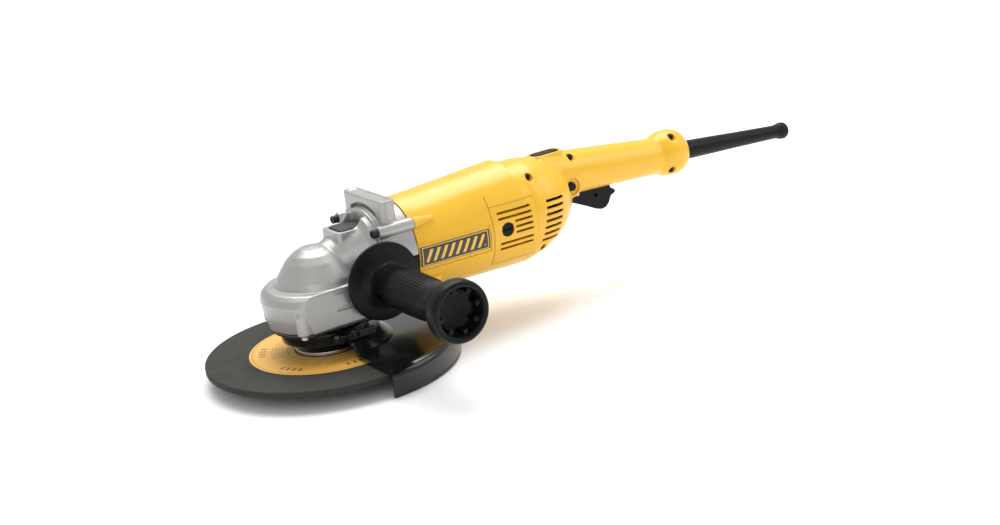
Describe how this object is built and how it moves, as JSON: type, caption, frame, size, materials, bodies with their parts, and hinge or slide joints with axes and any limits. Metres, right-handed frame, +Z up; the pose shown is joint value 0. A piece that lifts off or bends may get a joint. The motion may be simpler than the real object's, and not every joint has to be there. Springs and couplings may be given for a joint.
{
  "type": "angle grinder",
  "caption": "Large two-handed angle grinder with a half guard, side handle, trigger rear handle and cord boot; spindle, rotor, guard, trigger and buttons move.",
  "frame": {"origin": "centre of the spindle's free end face, below the lock nut", "axes": "+Z up the spindle towards the gear case, +X rearward along the motor axis to the cord end, -Y towards the side handle"},
  "size_m": [0.6932, 0.3093, 0.1508],
  "materials": {
    "cast_alloy": "satin",
    "yellow_plastic": "satin",
    "black_plastic": "satin",
    "dark_button": "satin",
    "rubber_boot": "matte",
    "guard_paint": "gloss",
    "screw_black": "satin",
    "steel": "satin",
    "gear_steel": "oiled",
    "core_steel": "satin",
    "copper": "satin",
    "bronze": "satin",
    "carbon": "matte",
    "abrasive": "rough",
    "label_paper": "satin",
    "badge": "gloss",
    "module_blue": "satin",
    "white_plastic": "satin"
  },
  "bodies": {
    "tool_body": {"gear_case": "cast_alloy", "bearing_cover": "guard_paint", "cover_screws": "steel", "gear_case_screws": "screw_black", "air_baffle": "black_plastic", "motor_housing": "yellow_plastic", "badge_plate": "badge", "handle_shell_left": "yellow_plastic", "handle_shell_right": "yellow_plastic", "handle_screws": "screw_black", "brush_caps": "black_plastic", "brush_holders": "bronze", "carbon_brushes": "carbon", "brush_springs": "steel", "stator_core": "core_steel", "stator_windings": "copper", "pinion_bearing": "steel", "rear_motor_bearing": "steel", "spindle_ball_bearing": "steel", "spindle_top_bush": "bronze", "switch_body": "dark_button", "terminal_block": "white_plastic", "suppressor_capacitor": "module_blue", "soft_start_module": "dark_button", "cord_boot": "rubber_boot", "cord_clamp": "black_plastic", "cord_clamp_screws": "steel", "side_handle_grip": "black_plastic", "side_handle_stud": "steel", "trigger_pin": "steel", "spindle_lock_spring": "steel", "trigger_spring": "steel", "lock_on_spring": "steel", "lock_off_spring": "steel"},
    "output_spindle": {"spindle": "steel", "crown_gear": "gear_steel", "gear_retaining_ring": "steel", "inner_flange": "steel", "grinding_disc": "abrasive", "disc_label": "label_paper", "lock_nut": "steel"},
    "rotor": {"armature_shaft": "steel", "armature_core": "core_steel", "armature_windings": "copper", "commutator": "copper", "fan": "black_plastic", "pinion": "gear_steel", "pinion_nut": "steel"},
    "guard": {"guard_shell": "guard_paint", "guard_clamp_band": "guard_paint", "guard_clamp_screw": "screw_black", "guard_lever_pin": "steel"},
    "guard_lever": {"guard_clamp_lever": "screw_black"},
    "trigger": {"trigger": "black_plastic"},
    "lock_on": {"lock_on_button": "black_plastic"},
    "lock_off": {"lock_off_button": "black_plastic"},
    "spindle_lock": {"spindle_lock_button": "dark_button"}
  },
  "joints": [
    {"name": "spindle_spin", "type": "hinge", "parent": "tool_body", "child": "output_spindle", "pos_m": [0, 0, 0], "axis": [0, 0, 1], "continuous": true},
    {"name": "rotor_spin", "type": "hinge", "parent": "tool_body", "child": "rotor", "pos_m": [0, 0, 0.092], "axis": [1, 0, 0], "continuous": true},
    {"name": "guard_turn", "type": "hinge", "parent": "tool_body", "child": "guard", "pos_m": [0, 0, 0.03], "axis": [0, 0, 1], "range_deg": [-90, 90]},
    {"name": "guard_lever_swing", "type": "hinge", "parent": "guard", "child": "guard_lever", "pos_m": [0.006, -0.047, 0.037], "axis": [0, 0, -1], "range_deg": [0, 95]},
    {"name": "trigger_squeeze", "type": "hinge", "parent": "tool_body", "child": "trigger", "pos_m": [0.291, 0, 0.0935], "axis": [0, -1, 0], "range_deg": [0, 7], "stiffness_Nm_per_rad": 1.2, "springref_deg": -8.59, "deforming": ["trigger_spring"]},
    {"name": "lock_on_push", "type": "slide", "parent": "tool_body", "child": "lock_on", "axis": [0, 1, 0], "range_m": [0, 0.003], "stiffness_N_per_m": 600, "springref_m": -0.003, "deforming": ["lock_on_spring"]},
    {"name": "lock_off_push", "type": "slide", "parent": "tool_body", "child": "lock_off", "axis": [0, 0, -1], "range_m": [0, 0.003], "stiffness_N_per_m": 700, "springref_m": -0.003, "deforming": ["lock_off_spring"]},
    {"name": "spindle_lock_push", "type": "slide", "parent": "tool_body", "child": "spindle_lock", "axis": [0, 0, -1], "range_m": [0, 0.0045], "stiffness_N_per_m": 900, "springref_m": -0.003, "deforming": ["spindle_lock_spring"]}
  ],
  "couplings": [
    {"joint": "rotor_spin", "follows": "spindle_spin", "ratio": 4.1}
  ]
}
